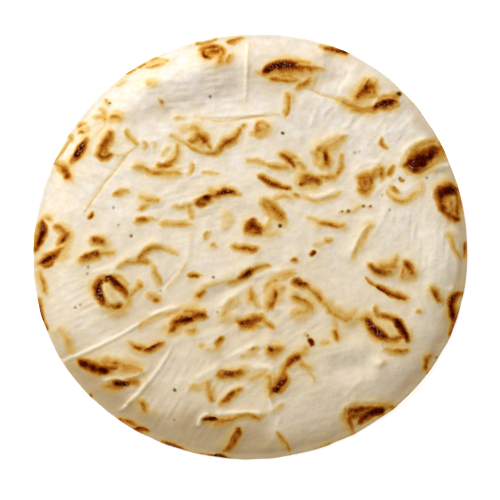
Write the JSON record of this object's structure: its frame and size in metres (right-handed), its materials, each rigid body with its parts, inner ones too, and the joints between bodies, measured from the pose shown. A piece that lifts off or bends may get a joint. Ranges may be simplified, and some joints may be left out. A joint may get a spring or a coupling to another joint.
{
  "type": "tortilla",
  "caption": "Round flour tortilla: a thin soft flatbread with toasted blisters, folds and a rim that bends down to the surface it lies on.",
  "frame": {"origin": "under the middle of the tortilla, on the surface that it lies on", "axes": "+Z up out of the blistered side; seen from above as in the picture, +X is to the right and +Y is up"},
  "size_m": [0.2, 0.1992, 0.008],
  "materials": {
    "baked_dough": "matte baked dough, cream, with golden to dark brown toasted blisters"
  },
  "bodies": {
    "root": {"tortilla": "baked_dough"}
  },
  "joints": []
}
